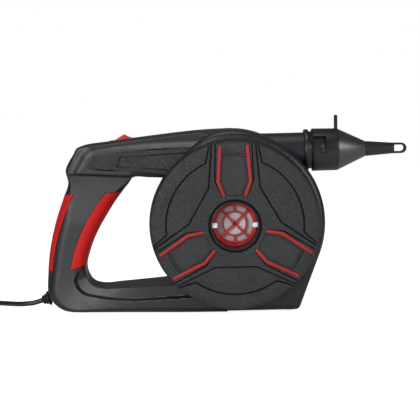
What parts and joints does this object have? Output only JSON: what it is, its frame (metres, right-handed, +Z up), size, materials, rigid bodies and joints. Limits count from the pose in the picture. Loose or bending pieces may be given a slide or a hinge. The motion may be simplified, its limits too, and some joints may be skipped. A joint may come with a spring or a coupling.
{
  "type": "hand-held mains air pump",
  "caption": "Hand-held electric air pump with a round fan drum, side intake port, loop handle with soft grips, rocker switch, bayonet nozzle and mains cord.",
  "frame": {"origin": "middle of the pump's footprint, cord left out, on the surface that it stands on", "axes": "+X toward the nozzle, +Y toward the motor cover, -Y toward the intake, +Z up"},
  "size_m": [0.4742, 0.1363, 0.1748],
  "materials": {
    "black_abs": "fine satin",
    "cover_abs": "fine leather grain",
    "nozzle_plastic": "satin",
    "red_rubber": "matt soft touch",
    "red_plastic": "satin",
    "black_rubber": "matt",
    "cord_pvc": "satin",
    "switch_nylon": "satin",
    "fan_plastic": "satin",
    "grey_plastic": "satin",
    "steel": "bright",
    "zinc_steel": "zinc plated",
    "bronze": "sintered",
    "brass": "bright",
    "copper": "bright",
    "ferrite": "matt",
    "carbon": "matt",
    "board": "satin"
  },
  "bodies": {
    "pump": {"accent_strip_1": "red_rubber", "accent_strip_2": "red_rubber", "accent_strip_3": "red_rubber", "accent_strip_4": "red_rubber", "accent_strip_5": "red_rubber", "accent_strip_6": "red_rubber", "carbon_brush_1": "carbon", "carbon_brush_2": "carbon", "clamp_screw_1": "steel", "clamp_screw_2": "steel", "cord_clamp": "grey_plastic", "cord_coil": "cord_pvc", "cord_tail": "cord_pvc", "fan_backplate": "grey_plastic", "fan_scroll": "grey_plastic", "front_bush": "bronze", "front_foot": "black_rubber", "front_grip_pad": "red_rubber", "housing_screw_1": "steel", "housing_screw_2": "steel", "housing_screw_3": "steel", "housing_screw_4": "steel", "inlet_plate": "grey_plastic", "intake_cover": "cover_abs", "intake_grille": "red_plastic", "intake_port": "black_abs", "left_housing": "black_abs", "magnet_1": "ferrite", "magnet_2": "ferrite", "mains_cord": "cord_pvc", "motor_can": "zinc_steel", "motor_cover": "black_abs", "motor_end_cap": "grey_plastic", "motor_lead": "cord_pvc", "motor_ring": "black_rubber", "motor_screw_1": "steel", "motor_screw_2": "steel", "outlet_spigot": "nozzle_plastic", "plug_body": "cord_pvc", "plug_pin_1": "brass", "plug_pin_2": "brass", "rear_bush": "bronze", "rear_foot": "black_rubber", "rear_grip_pad": "red_rubber", "rectifier_board": "board", "right_housing": "black_abs", "spigot_seal": "black_rubber", "strain_relief": "black_rubber", "supply_lead": "cord_pvc", "switch_body": "switch_nylon", "switch_terminal_1": "brass", "switch_terminal_2": "brass"},
    "rotor": {"motor_shaft": "steel", "armature": "steel", "commutator": "copper", "impeller": "fan_plastic", "impeller_nut": "brass"},
    "rocker": {"switch_rocker": "red_plastic"},
    "nozzle": {"nozzle_adaptor": "nozzle_plastic", "nozzle_tip": "nozzle_plastic"}
  },
  "joints": [
    {"name": "rotor_spin", "type": "hinge", "parent": "pump", "child": "rotor", "pos_m": [0.01329, 0.00225, 0.0807], "axis": [0, 1, 0], "continuous": true},
    {"name": "rocker_tilt", "type": "hinge", "parent": "pump", "child": "rocker", "pos_m": [-0.08691, 0.00225, 0.154], "axis": [0, 1, 0], "range_deg": [0, 12]},
    {"name": "nozzle_twist", "type": "hinge", "parent": "pump", "child": "nozzle", "pos_m": [0.09529, 0.00225, 0.1435], "axis": [1, 0, 0], "range_deg": [0, 35]}
  ]
}
